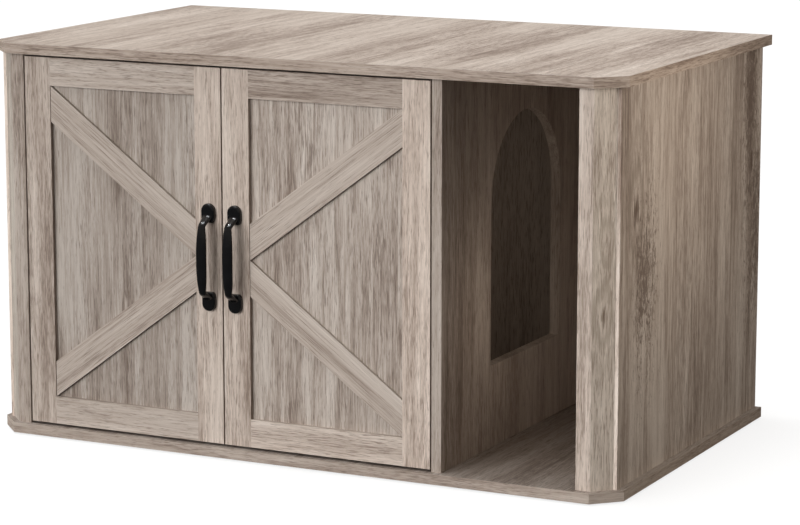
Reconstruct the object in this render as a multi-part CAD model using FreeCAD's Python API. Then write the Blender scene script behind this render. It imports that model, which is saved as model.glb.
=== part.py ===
"""Cat litter box cabinet with two braced doors, a side passage and an arched cat opening.

Millimetres. X is the width, Y the depth with the front at -Y, and Z is up. The origin is on the floor, at the
centre of the space that the whole cabinet takes up, its handles included.
"""

import FreeCAD
import Part

import math
import os

Vector = FreeCAD.Vector

# Boards of the carcass
BOARD = 15.0
TOP_WIDTH = 1000.0
TOP_DEPTH = 600.0
UPRIGHT_HEIGHT = 552.0
CORNER_CUT = 36.5
SIDE_SETBACK = 10.0
FRONT_SETBACK = 10.0
REAR_OVERHANG = 12.0
CORNER_FACE = 24.5
CORNER_REVEAL = 5.0
BATTEN_DEPTH = 90.0

# Floor pads under the base
PAD_RADIUS = 10.0
PAD_HEIGHT = 2.5
PAD_INSET = 40.0
PAD_SIDES = 12

# Back panel in its groove
BACK_THICK = 3.0
GROOVE_DEPTH = 7.0
GROOVE_FROM_REAR = 8.0
GROOVE_PLAY = 0.3
BACK_EDGE_PLAY = 1.0

# Passage at the right and the arched opening in the divider
PASSAGE_WIDTH = 202.5
ARCH_WIDTH = 246.0
ARCH_SILL = 120.0
ARCH_STRAIGHT = 234.0
ARCH_FROM_FRONT = 286.0
ARCH_CORNER = 4.0

# Doors: a backing board with strips and braces laid on its front
DOOR_BACKING = 9.0
DOOR_STRIP = 6.0
BRACE_THICK = 5.0
DOOR_STILE = 42.5
DOOR_RAIL = 41.0
BRACE_WIDTH = 42.5
BRACE_JOINT = 0.4
DOOR_TOP_GAP = 4.0
DOOR_BOTTOM_GAP = 3.5
DOOR_MEETING_GAP = 2.4
SWING_CLEARANCE = 0.85

# Arched pull handle
HANDLE_LENGTH = 156.0
HANDLE_PROJECTION = 28.0
HANDLE_SPACING = 128.0
HANDLE_FROM_EDGE = 20.1
FOOT_WIDTH = 21.5
FOOT_HEIGHT = 28.0
FOOT_STRAIGHT = 8.0
FOOT_THICK = 6.5
FOOT_EASE = 2.4
GRIP_WIDTH = 16.7
GRIP_THICK = 8.0
GRIP_LENGTH = 92.0
GRIP_BOW = 2.2
NECK_WIDTH = 11.5
NECK_THICK = 7.0
NECK_RUN = 16.0
NECK_FOOT_WIDTH = 18.0
NECK_LIFT = 0.2
NECK_STATIONS = 6
GRIP_STATIONS = 3
LEAN_STEP = 0.5
OVAL_SIDES = 16
FOOT_SIDES = 12
FOOT_CORNER_SIDES = 3
HANDLE_SCREW_RADIUS = 2.0
HANDLE_SCREW_HEAD = 4.0
HANDLE_SCREW_BITE = 4.5

# Concealed hinge: cup in the door, cranked arm and plate on the cabinet
HINGE_FROM_END = 95.0
PIN_FROM_EDGE = 20.0
PIN_IN_CUP = 6.5
PIN_RADIUS = 1.5
PIN_PLAY = 0.05
EYE_WALL = 1.85
EYE_SIDES = 12
CUP_FROM_EDGE = 22.5
CUP_RADIUS = 17.4
CUP_DEPTH = 11.5
CUP_WALL = 1.0
CUP_PLAY = 0.1
CUP_SIDES = 20
CHEEK_THICK = 3.0
CHEEK_WIDTH = 10.0
CHEEK_PLAY = 0.6
FLANGE_THICK = 1.2
FLANGE_RADIUS = 19.5
FLANGE_WIDTH = 13.0
CUP_SCREW_SPACING = 48.0
CUP_SCREW_OFFSET = 6.0
ARM_THICK = 3.0
ARM_HEIGHT = 14.0
ARM_EXIT_ANGLE = 42.6
ARM_BEND = 7.0
ARM_CLEARANCE = 2.3
ARM_REACH = 64.0
PLATE_THICK = 5.0
PLATE_WING = 2.2
PLATE_WING_WIDTH = 12.0
PLATE_FROM_FRONT = 37.0
PLATE_LENGTH = 40.0
PLATE_SCREW_SPACING = 32.0
ARM_SCREW_FROM_FRONT = 59.0
ARM_SCREW_BITE = 4.0

# Double magnetic catch under the top, and its strike plates on the doors
CATCH_WIDTH = 56.0
CATCH_DEPTH = 16.0
CATCH_HEIGHT = 13.0
CATCH_EAR = 10.0
CATCH_EAR_THICK = 3.0
CATCH_AIR = 0.3
MAGNET_SPACING = 34.0
MAGNET_WIDTH = 14.0
MAGNET_HEIGHT = 6.0
MAGNET_DEPTH = 12.0
MAGNET_PLAY = 0.1
STRIKE_WIDTH = 24.0
STRIKE_HEIGHT = 15.0
STRIKE_THICK = 1.5

# Carcass fasteners
CAM_RADIUS = 7.4
CAM_DEPTH = 12.3
CAM_SLOT_PLAY = 0.1
CAM_SIDES = 12
CAM_FROM_END = 34.0
CAM_FROM_EDGE = 60.0
BOLT_RADIUS = 3.4
BOLT_HEAD_RADIUS = 2.9
BOLT_HEAD_HEIGHT = 2.5
BOLT_NECK_RADIUS = 1.6
BOLT_THREAD_RADIUS = 2.5
BOLT_BITE = 11.0
DOWEL_RADIUS = 3.0
DOWEL_LENGTH = 28.0
DOWEL_IN_PANEL = 9.0
BASE_SCREW_RADIUS = 2.5
BASE_SCREW_HEAD = 4.5
BASE_SCREW_HEAD_HEIGHT = 3.0
BASE_SCREW_BITE = 33.0
WOOD_SCREW_RADIUS = 1.7
WOOD_SCREW_HEAD = 3.6
WOOD_SCREW_HEAD_HEIGHT = 1.8
WOOD_SCREW_BITE = 8.0
NAIL_RADIUS = 0.8
NAIL_HEAD = 2.4
NAIL_HEAD_HEIGHT = 0.7
NAIL_BITE = 18.0
NAIL_COUNT = 3
HEAD_TAPER = 0.6
SCREW_SIDES = 6

# Heights
Z_BASE = PAD_HEIGHT
Z_FLOOR = Z_BASE + BOARD
Z_CEILING = Z_FLOOR + UPRIGHT_HEIGHT

# Depths, from the front of the handles to the rear edge of the top
OVERALL_DEPTH = TOP_DEPTH + HANDLE_PROJECTION - FRONT_SETBACK
Y_TOP_REAR = OVERALL_DEPTH / 2
Y_TOP_FRONT = Y_TOP_REAR - TOP_DEPTH
Y_FACE = Y_TOP_FRONT + FRONT_SETBACK
Y_REAR = Y_TOP_REAR - REAR_OVERHANG
Y_CORNER_END = Y_FACE + CORNER_FACE
Y_BACK_REAR = Y_REAR - GROOVE_FROM_REAR
Y_BACK = Y_BACK_REAR - BACK_THICK
DOOR_THICK = DOOR_BACKING + DOOR_STRIP
Y_BACKING = Y_FACE + DOOR_STRIP
Y_DOOR_BACK = Y_FACE + DOOR_THICK
Y_PIN = Y_DOOR_BACK - PIN_IN_CUP

# Widths, from the middle of the cabinet
X_SIDE = TOP_WIDTH / 2 - SIDE_SETBACK
X_SIDE_INNER = X_SIDE - BOARD
X_CORNER_OUTER = X_SIDE - CORNER_REVEAL
MITRE_WIDTH = BOARD * math.sqrt(2)
X_OPENING = X_CORNER_OUTER - CORNER_FACE - MITRE_WIDTH
X_DIVIDER_RIGHT = X_OPENING - PASSAGE_WIDTH
X_DIVIDER_LEFT = X_DIVIDER_RIGHT - BOARD

# The front corner of a door swings outside its own edge by this bulge, so the gap beside it holds it
SWING_RADIUS = math.hypot(PIN_FROM_EDGE, DOOR_THICK - PIN_IN_CUP)
DOOR_SIDE_GAP = SWING_RADIUS - PIN_FROM_EDGE + SWING_CLEARANCE
DOORS_WIDTH = X_DIVIDER_LEFT + X_OPENING - 2 * DOOR_SIDE_GAP
DOOR_WIDTH = (DOORS_WIDTH - DOOR_MEETING_GAP) / 2
X_DOOR = -X_OPENING + DOOR_SIDE_GAP
X_DOOR_END = X_DOOR + DOOR_WIDTH
X_MEETING = X_DOOR_END + DOOR_MEETING_GAP / 2
Z_DOOR = Z_FLOOR + DOOR_BOTTOM_GAP
Z_DOOR_TOP = Z_CEILING - DOOR_TOP_GAP
X_PIN = X_DOOR + PIN_FROM_EDGE
X_CUP = X_DOOR + CUP_FROM_EDGE
HINGE_HEIGHTS = (Z_DOOR + HINGE_FROM_END, Z_DOOR_TOP - HINGE_FROM_END)

# The open field of a door between its stiles and rails
X_FIELD = X_DOOR + DOOR_STILE
X_FIELD_END = X_DOOR_END - DOOR_STILE
Z_FIELD = Z_DOOR + DOOR_RAIL
Z_FIELD_TOP = Z_DOOR_TOP - DOOR_RAIL
Z_DOOR_MIDDLE = (Z_DOOR + Z_DOOR_TOP) / 2
X_HANDLE = X_DOOR_END - HANDLE_FROM_EDGE

# Fastener places along the depth of the side panels and the divider
Y_SIDE_FASTENERS = (Y_CORNER_END + CAM_FROM_EDGE, Y_BACK - CAM_FROM_EDGE)
Y_DIVIDER_FASTENERS = (Y_FACE + CAM_FROM_EDGE, Y_BACK - CAM_FROM_EDGE)


def block(x0, x1, y0, y1, z0, z1):
    """A board between two corners."""
    return Part.makeBox(x1 - x0, y1 - y0, z1 - z0, Vector(x0, y0, z0))


def plan_prism(outline, z0, z1):
    """A board cut to an outline seen from above."""
    corners = [Vector(x, y, z0) for x, y in outline]
    face = Part.Face(Part.makePolygon(corners + corners[:1]))
    return face.extrude(Vector(0, 0, z1 - z0))


def front_prism(outline, y0, y1):
    """A strip cut to an outline seen from the front."""
    corners = [Vector(x, y0, z) for x, z in outline]
    face = Part.Face(Part.makePolygon(corners + corners[:1]))
    return face.extrude(Vector(0, y1 - y0, 0))


def rod(radius, start, end):
    """A round bar or bore from one point to another."""
    along = end - start
    return Part.makeCylinder(radius, along.Length, start, along)


def faceted(profile, base, direction, sides):
    """A small round piece with a few flat sides: (radius, height) rings about a line from base."""
    turn = FreeCAD.Rotation(Vector(0, 0, 1), direction)
    angles = [2 * math.pi * (number + 0.5) / sides for number in range(sides)]
    rings = []
    for radius, height in profile:
        ring = [Vector(radius * math.cos(angle), radius * math.sin(angle), height) for angle in angles]
        rings.append([base + turn.multVec(point) for point in ring])
    loops = [rings[0], rings[-1]]
    for lower, upper in zip(rings, rings[1:]):
        loops += [[lower[k], lower[k - 1], upper[k - 1], upper[k]] for k in range(sides)]
    faces = [Part.Face(Part.makePolygon(loop + loop[:1])) for loop in loops]
    solid = Part.Solid(Part.Shell(faces)).removeSplitter()
    return solid if solid.Volume > 0 else solid.reversed()


def faceted_rod(radius, start, end, sides):
    """A straight bar or bore with a few flat sides."""
    along = end - start
    return faceted(((radius, 0), (radius, along.Length)), start, along, sides)


def pan_screw(seat, direction, head_radius, head_height, shank_radius, length):
    """A screw whose head rests on seat and whose shank points along direction."""
    profile = (
        (HEAD_TAPER * head_radius, -head_height),
        (head_radius, 0),
        (shank_radius, 0),
        (shank_radius, length),
    )
    return faceted(profile, seat, direction, SCREW_SIDES)


def wood_screw(seat, direction, through):
    """A small wood screw that first goes through a fitting of that thickness."""
    length = through + WOOD_SCREW_BITE
    return pan_screw(seat, direction, WOOD_SCREW_HEAD, WOOD_SCREW_HEAD_HEIGHT, WOOD_SCREW_RADIUS, length)


def cut(shape, tools):
    """The shape less its cuts, as one solid."""
    return shape.cut(tools).removeSplitter().Solids[0]


def bored(board, fasteners):
    """The board with a close-fitting hole for each fastener that enters it."""
    return cut(board, [piece for piece in fasteners if piece.BoundBox.intersect(board.BoundBox)])


def fuse(shape, others):
    """The pieces joined into one solid."""
    return shape.fuse(others).removeSplitter().Solids[0]


def across(shape):
    """The same piece on the other door, mirrored about the line where the doors meet."""
    return shape.mirror(Vector(X_MEETING, 0, 0), Vector(1, 0, 0))


def save(name, shapes):
    """Writes one sub-part, or a group of separate like pieces, as one file."""
    shape = Part.makeCompound(shapes) if isinstance(shapes, list) else shapes
    solids = shape.Solids
    if not solids or not all(solid.isValid() and solid.Volume > 0 for solid in solids):
        raise ValueError(name + " is not a valid solid")
    shape.exportStep("parts/" + name + ".step")


def panel_outline(y_rear):
    """The outline of the top or the base: a rectangle with its two front corners clipped."""
    half = TOP_WIDTH / 2
    return (
        (-half, y_rear),
        (-half, Y_TOP_FRONT + CORNER_CUT),
        (-half + CORNER_CUT, Y_TOP_FRONT),
        (half - CORNER_CUT, Y_TOP_FRONT),
        (half, Y_TOP_FRONT + CORNER_CUT),
        (half, y_rear),
    )


def back_groove(x0, x1, z0, z1):
    """The groove that holds an edge of the back panel."""
    play = GROOVE_PLAY / 2
    return block(x0, x1, Y_BACK - play, Y_BACK_REAR + play, z0, z1)


def cam_places():
    """Where a cam joint holds an upright to the top: plan point, and the way the cam faces."""
    places = [(X_SIDE_INNER + BOARD / 2, y, -1) for y in Y_SIDE_FASTENERS]
    places += [(-X_SIDE_INNER - BOARD / 2, y, 1) for y in Y_SIDE_FASTENERS]
    places += [(X_DIVIDER_LEFT + BOARD / 2, y, -1) for y in Y_DIVIDER_FASTENERS]
    return places


def cam_round(place):
    """The full round of a cam, which is also its bore in the face of the upright."""
    x, y, side = place
    face = Vector(x + side * BOARD / 2, y, Z_CEILING - CAM_FROM_END)
    return faceted_rod(CAM_RADIUS, face, face - Vector(side * CAM_DEPTH, 0, 0), CAM_SIDES)


def cam_disc(place):
    """A cam: a disc flush with the board's face, slotted towards the bolt that it grips."""
    x, y, _ = place
    z = Z_CEILING - CAM_FROM_END
    half = BOLT_HEAD_RADIUS + CAM_SLOT_PLAY
    below = BOLT_HEAD_HEIGHT + CAM_SLOT_PLAY
    return cut(cam_round(place), [block(x - half, x + half, y - half, y + half, z - below, z + CAM_RADIUS)])


def cam_bolt(place):
    """The bolt that hangs from the top panel into the cam."""
    x, y, _ = place
    neck = BOLT_HEAD_HEIGHT + CAM_RADIUS
    shoulder = BOLT_HEAD_HEIGHT + CAM_FROM_END
    profile = (
        (BOLT_HEAD_RADIUS, 0),
        (BOLT_HEAD_RADIUS, BOLT_HEAD_HEIGHT),
        (BOLT_NECK_RADIUS, BOLT_HEAD_HEIGHT),
        (BOLT_NECK_RADIUS, neck),
        (BOLT_RADIUS, neck),
        (BOLT_RADIUS, shoulder),
        (BOLT_THREAD_RADIUS, shoulder),
        (BOLT_THREAD_RADIUS, shoulder + BOLT_BITE),
    )
    return faceted(profile, Vector(x, y, Z_CEILING - shoulder), Vector(0, 0, 1), SCREW_SIDES)


def dowel_places():
    """Plan points of the dowels in the two corner panels and the hinge batten."""
    x_corner = X_CORNER_OUTER - (CORNER_FACE + MITRE_WIDTH) / 2
    y_corner = Y_FACE + CORNER_FACE / 2
    x_batten = -X_OPENING - BOARD / 2
    y_batten = Y_FACE + (BOARD + BATTEN_DEPTH) / 2
    return ((-x_corner, y_corner), (x_corner, y_corner), (x_batten, y_batten))


def wood_dowels():
    """Two dowels for each of those uprights: one up into the top, one down into the base."""
    in_upright = DOWEL_LENGTH - DOWEL_IN_PANEL
    pins = []
    for x, y in dowel_places():
        for z in (Z_CEILING - in_upright, Z_FLOOR - DOWEL_IN_PANEL):
            foot = Vector(x, y, z)
            pins.append(faceted_rod(DOWEL_RADIUS, foot, foot + Vector(0, 0, DOWEL_LENGTH), SCREW_SIDES))
    return pins


def base_screw(place):
    """A long countersunk screw from under the base up into the end of an upright."""
    x, y, _ = place
    profile = (
        (BASE_SCREW_HEAD, 0),
        (BASE_SCREW_RADIUS, BASE_SCREW_HEAD_HEIGHT),
        (BASE_SCREW_RADIUS, BOARD + BASE_SCREW_BITE),
    )
    return faceted(profile, Vector(x, y, Z_BASE), Vector(0, 0, 1), SCREW_SIDES)


def cabinet_fasteners():
    """Everything that is sunk into the boards of the cabinet."""
    pieces = wood_dowels() + back_nails() + catch_screws() + hinge_plate_screws()
    pieces += [across(screw) for screw in hinge_plate_screws()]
    for place in cam_places():
        pieces += [cam_round(place), cam_bolt(place), base_screw(place)]
    return pieces


def top_panel():
    """The top: clipped front corners, the back panel's groove and the blind holes underneath."""
    board = plan_prism(panel_outline(Y_TOP_REAR), Z_CEILING, Z_CEILING + BOARD)
    reach = X_SIDE_INNER + GROOVE_DEPTH
    groove = back_groove(-reach, reach, Z_CEILING, Z_CEILING + GROOVE_DEPTH)
    return bored(board, [groove] + cabinet_fasteners())


def base_panel():
    """The base, which is also the floor inside."""
    board = plan_prism(panel_outline(Y_REAR), Z_BASE, Z_FLOOR)
    reach = X_SIDE_INNER + GROOVE_DEPTH
    groove = back_groove(-reach, reach, Z_FLOOR - GROOVE_DEPTH, Z_FLOOR)
    return bored(board, [groove] + cabinet_fasteners())


def side_panel(side):
    """An end of the cabinet, grooved for the back panel and bored for its cams."""
    inner = side * X_SIDE_INNER
    outer = side * X_SIDE
    board = block(min(inner, outer), max(inner, outer), Y_CORNER_END, Y_REAR, Z_FLOOR, Z_CEILING)
    bottom = inner + side * GROOVE_DEPTH
    groove = back_groove(min(inner, bottom), max(inner, bottom), Z_FLOOR, Z_CEILING)
    return bored(board, [groove] + cabinet_fasteners())


def corner_panel(side):
    """A narrow 45 degree board, mitred so that one end lies in the front plane."""
    outline = (
        (side * X_CORNER_OUTER, Y_CORNER_END),
        (side * (X_CORNER_OUTER - CORNER_FACE), Y_FACE),
        (side * X_OPENING, Y_FACE),
        (side * (X_CORNER_OUTER - MITRE_WIDTH), Y_CORNER_END),
    )
    return bored(plan_prism(outline, Z_FLOOR, Z_CEILING), wood_dowels())


def hinge_batten():
    """The upright behind the left corner panel that the left door hangs on."""
    outline = (
        (-X_OPENING, Y_FACE),
        (-X_OPENING, Y_FACE + BATTEN_DEPTH),
        (-X_OPENING - BOARD, Y_FACE + BATTEN_DEPTH),
        (-X_OPENING - BOARD, Y_FACE + BOARD),
    )
    return bored(plan_prism(outline, Z_FLOOR, Z_CEILING), wood_dowels() + hinge_plate_screws())


def arch_cutter():
    """The arched opening: a straight-sided doorway with a round head and eased lower corners."""
    y = Y_FACE + ARCH_FROM_FRONT
    half = ARCH_WIDTH / 2
    sill = Z_FLOOR + ARCH_SILL
    spring = sill + ARCH_STRAIGHT
    x = X_DIVIDER_LEFT
    foot_left = Vector(x, y - half, sill)
    foot_right = Vector(x, y + half, sill)
    spring_left = Vector(x, y - half, spring)
    spring_right = Vector(x, y + half, spring)
    crown = Vector(x, y, spring + half)
    outline = Part.Wire([
        Part.LineSegment(foot_left, foot_right).toShape(),
        Part.LineSegment(foot_right, spring_right).toShape(),
        Part.Arc(spring_right, crown, spring_left).toShape(),
        Part.LineSegment(spring_left, foot_left).toShape(),
    ])
    solid = Part.Face(outline).extrude(Vector(BOARD, 0, 0))
    lower = [edge for edge in solid.Edges if is_lower_corner(edge, sill)]
    return solid.makeFillet(ARCH_CORNER, lower)


def is_lower_corner(edge, sill):
    """True for an edge that runs straight through the board at the height of the sill."""
    box = edge.BoundBox
    return box.XLength > BOARD / 2 and box.YLength < BOARD / 2 and box.ZMax < sill + ARCH_CORNER


def divider_panel():
    """The board between the litter compartment and the passage, with the cat's opening."""
    board = block(X_DIVIDER_LEFT, X_DIVIDER_RIGHT, Y_FACE, Y_BACK, Z_FLOOR, Z_CEILING)
    return bored(board, [arch_cutter()] + cabinet_fasteners())


def back_panel():
    """The thin back, held in grooves all round."""
    half = X_SIDE_INNER + GROOVE_DEPTH - BACK_EDGE_PLAY
    low = Z_FLOOR - GROOVE_DEPTH + BACK_EDGE_PLAY
    high = Z_CEILING + GROOVE_DEPTH - BACK_EDGE_PLAY
    return bored(block(-half, half, Y_BACK, Y_BACK_REAR, low, high), back_nails())


def back_nails():
    """Nails through the back panel into the rear edge of the divider."""
    x = X_DIVIDER_LEFT + BOARD / 2
    step = UPRIGHT_HEIGHT / (NAIL_COUNT + 1)
    nails = []
    for number in range(1, NAIL_COUNT + 1):
        seat = Vector(x, Y_BACK_REAR, Z_FLOOR + number * step)
        length = BACK_THICK + NAIL_BITE
        nails.append(pan_screw(seat, Vector(0, -1, 0), NAIL_HEAD, NAIL_HEAD_HEIGHT, NAIL_RADIUS, length))
    return nails


def floor_pads():
    """Round pads under the base, near its ends and under the divider."""
    x_end = TOP_WIDTH / 2 - PAD_INSET
    rows = (Y_TOP_FRONT + CORNER_CUT + PAD_INSET, Y_REAR - PAD_INSET)
    places = [(x, y) for x in (-x_end, X_DIVIDER_LEFT - PAD_INSET, x_end) for y in rows]
    return [faceted_rod(PAD_RADIUS, Vector(x, y, 0), Vector(x, y, PAD_HEIGHT), PAD_SIDES) for x, y in places]


def strip(x0, x1, z0, z1):
    """A stile or rail of the left door, laid on its backing."""
    return block(x0, x1, Y_FACE, Y_BACKING, z0, z1)


def cup_round(radius, y_start, y_end, z):
    """A round of a hinge cup, or its bore, between two depths."""
    return faceted_rod(radius, Vector(X_CUP, y_start, z), Vector(X_CUP, y_end, z), CUP_SIDES)


def cup_bores():
    """The round bores for the hinge cups, from the back of the left door."""
    bottom = Y_DOOR_BACK - CUP_DEPTH - CUP_PLAY
    radius = CUP_RADIUS + CUP_PLAY
    return [cup_round(radius, Y_DOOR_BACK, bottom, z) for z in HINGE_HEIGHTS]


def handle_feet_heights():
    """The heights of the two screws of a handle."""
    return (Z_DOOR_MIDDLE - HANDLE_SPACING / 2, Z_DOOR_MIDDLE + HANDLE_SPACING / 2)


def door_fasteners():
    """Everything that is sunk into the left door, besides the hinge cups."""
    return cup_screws() + handle_screws() + [strike_screw()]


def door_panel():
    """The full-size backing board of the left door."""
    board = block(X_DOOR, X_DOOR_END, Y_BACKING, Y_DOOR_BACK, Z_DOOR, Z_DOOR_TOP)
    return bored(board, cup_bores() + door_fasteners())


def door_hinge_stile():
    """The upright strip on the hinged edge, bored in part for the cups."""
    return cut(strip(X_DOOR, X_FIELD, Z_DOOR, Z_DOOR_TOP), cup_bores())


def door_meeting_stile():
    """The upright strip where the doors meet, which carries the handle."""
    return bored(strip(X_FIELD_END, X_DOOR_END, Z_DOOR, Z_DOOR_TOP), handle_screws())


def door_brace(way):
    """A diagonal strip from an outer corner of the field to mid-height at its inner edge: way is 1 or -1."""
    left = X_FIELD + BRACE_JOINT
    right = X_FIELD_END - BRACE_JOINT
    width = right - left
    half_height = (Z_FIELD_TOP - Z_FIELD) / 2
    reach = math.hypot(width, half_height)
    slope = math.acos(BRACE_WIDTH / reach) - math.atan2(width, half_height)
    end_cut = BRACE_WIDTH / math.cos(slope)
    joint = BRACE_JOINT / math.cos(slope)
    middle = (Z_FIELD_TOP + Z_FIELD) / 2
    outline = (
        (left, middle + way * (half_height - joint)),
        (left, middle + way * (half_height - end_cut)),
        (right, middle + way * joint / 2),
        (right, middle + way * (end_cut - joint)),
    )
    return front_prism(outline, Y_BACKING - BRACE_THICK, Y_BACKING)


def foot_outline(way, out, inset):
    """A foot's outline: a half-round end, straight sides, and rounded corners where it meets the neck."""
    half = FOOT_WIDTH / 2 - inset
    waist = (NECK_WIDTH - inset) / 2
    centre = (HANDLE_LENGTH - FOOT_WIDTH) / 2
    straight = centre - FOOT_STRAIGHT
    neck = HANDLE_LENGTH / 2 - FOOT_HEIGHT + inset
    end = [math.pi * number / FOOT_SIDES for number in range(FOOT_SIDES + 1)]
    points = [(half * math.cos(angle), centre + half * math.sin(angle)) for angle in end]
    bend = [math.pi / 2 * number / FOOT_CORNER_SIDES for number in range(FOOT_CORNER_SIDES + 1)]
    widths = [waist + (half - waist) * math.cos(turn) for turn in bend]
    heights = [straight - (straight - neck) * math.sin(turn) for turn in bend]
    corner = list(zip(widths, heights))
    points += [(-x, z) for x, z in corner] + corner[::-1]
    ring = [Vector(X_HANDLE + x, Y_FACE - out, Z_DOOR_MIDDLE + way * z) for x, z in points]
    return Part.makePolygon(ring + ring[:1])


def handle_foot(way):
    """A foot of the handle, eased all round its front edge."""
    heights = ((0, 0), (FOOT_THICK - FOOT_EASE, 0), (FOOT_THICK, FOOT_EASE))
    return Part.makeLoft([foot_outline(way, out, inset) for out, inset in heights], True, True)


def grip_bow(place):
    """How far the grip's centreline stands out from the door at a height from its middle."""
    crest = HANDLE_PROJECTION - GRIP_THICK / 2
    root = NECK_THICK / 2 + NECK_LIFT
    half_grip = GRIP_LENGTH / 2
    bowed = crest - GRIP_BOW * min(abs(place) / half_grip, 1) ** 2
    fall = min(max((abs(place) - half_grip) / NECK_RUN, 0), 1)
    return root + (bowed - root) * (1 + math.cos(math.pi * fall)) / 2


def grip_size(place):
    """The width and thickness of the grip: full in the middle, slim at the neck, wide again at the foot."""
    half_grip = GRIP_LENGTH / 2
    fullness = max(1 - (abs(place) / half_grip) ** 3, 0)
    flare = min(max((abs(place) - half_grip) / NECK_RUN, 0), 1) ** 2
    width = NECK_WIDTH + (GRIP_WIDTH - NECK_WIDTH) * fullness + (NECK_FOOT_WIDTH - NECK_WIDTH) * flare
    thick = NECK_THICK + (GRIP_THICK - NECK_THICK) * fullness
    return width, thick


def grip_section(place):
    """An oval section of the grip with small flats, square to its centreline."""
    lean = math.atan2(grip_bow(place + LEAN_STEP) - grip_bow(place - LEAN_STEP), 2 * LEAN_STEP)
    width, thick = grip_size(place)
    ring = []
    for number in range(OVAL_SIDES):
        angle = 2 * math.pi * number / OVAL_SIDES
        out = math.sin(angle) * thick / 2
        x = X_HANDLE + math.cos(angle) * width / 2
        y = Y_FACE - grip_bow(place) - out * math.cos(lean)
        ring.append(Vector(x, y, Z_DOOR_MIDDLE + place - out * math.sin(lean)))
    return Part.makePolygon(ring + ring[:1])


def handle_grip():
    """The bow of the handle: out of one foot, through a slim neck, along the grip and back."""
    half_grip = GRIP_LENGTH / 2
    neck = [half_grip + NECK_RUN * (1 - number / NECK_STATIONS) for number in range(NECK_STATIONS + 1)]
    grip = [half_grip * (1 - number / GRIP_STATIONS) for number in range(1, GRIP_STATIONS)]
    half = neck + grip
    stations = half + [0] + [-place for place in half[::-1]]
    return Part.makeLoft([grip_section(place) for place in stations], True, True)


def door_handle():
    """The arched pull handle of the left door."""
    return bored(fuse(handle_grip(), [handle_foot(1), handle_foot(-1)]), handle_screws())


def handle_screws():
    """Screws from the back of the left door into the handle's feet."""
    length = DOOR_THICK + HANDLE_SCREW_BITE
    head = HANDLE_SCREW_HEAD
    seats = [Vector(X_HANDLE, Y_DOOR_BACK, z) for z in handle_feet_heights()]
    return [pan_screw(seat, Vector(0, -1, 0), head, head / 2, HANDLE_SCREW_RADIUS, length) for seat in seats]


def cup_screw_points(z):
    """Where the screws of one hinge cup meet its flange."""
    x = X_CUP + CUP_SCREW_OFFSET
    y = Y_DOOR_BACK + FLANGE_THICK
    return (Vector(x, y, z - CUP_SCREW_SPACING / 2), Vector(x, y, z + CUP_SCREW_SPACING / 2))


def hinge_cup(z):
    """A pressed cup with its flange, and inside it two cheeks and the pin riveted between them."""
    rim = Y_DOOR_BACK + FLANGE_THICK
    bottom = Y_DOOR_BACK - CUP_DEPTH
    shell = cup_round(CUP_RADIUS, bottom, Y_DOOR_BACK, z)
    ring = cup_round(FLANGE_RADIUS, Y_DOOR_BACK, rim, z)
    x_screw = X_CUP + CUP_SCREW_OFFSET
    half = FLANGE_WIDTH / 2
    span = CUP_SCREW_SPACING / 2 + half
    ears = block(x_screw - half, x_screw + half, Y_DOOR_BACK, rim, z - span, z + span)
    hollow = cup_round(CUP_RADIUS - CUP_WALL, bottom + CUP_WALL, rim, z)
    cup = cut(shell.fuse([ring, ears]), [hollow] + cup_screws())
    cheek_top = Y_PIN + EYE_WALL + PIN_RADIUS
    inner = ARM_HEIGHT / 2 + CHEEK_PLAY
    outer = inner + CHEEK_THICK
    half_cheek = CHEEK_WIDTH / 2
    sides = [block(X_PIN - half_cheek, X_PIN + half_cheek, bottom, cheek_top, z + low, z + high)
             for low, high in ((inner, outer), (-outer, -inner))]
    pin = rod(PIN_RADIUS, Vector(X_PIN, Y_PIN, z - inner), Vector(X_PIN, Y_PIN, z + inner))
    return fuse(cup, sides + [pin])


def cup_screws():
    """The two wood screws of each hinge cup of the left door."""
    screws = []
    for z in HINGE_HEIGHTS:
        screws += [wood_screw(point, Vector(0, -1, 0), FLANGE_THICK) for point in cup_screw_points(z)]
    return screws


def rounded_path(points, radius):
    """A flat path through points, with every corner rounded to the same radius."""
    edges = []
    start = points[0]
    for before, corner, after in zip(points, points[1:], points[2:]):
        back = (before - corner).normalize()
        ahead = (after - corner).normalize()
        half_angle = back.getAngle(ahead) / 2
        reach = radius / math.tan(half_angle)
        inward = (back + ahead).normalize()
        first = corner + back * reach
        last = corner + ahead * reach
        crest = corner + inward * (radius / math.sin(half_angle) - radius)
        edges.append(Part.LineSegment(start, first).toShape())
        edges.append(Part.Arc(first, crest, last).toShape())
        start = last
    edges.append(Part.LineSegment(start, points[-1]).toShape())
    return Part.Wire(edges)


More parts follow.
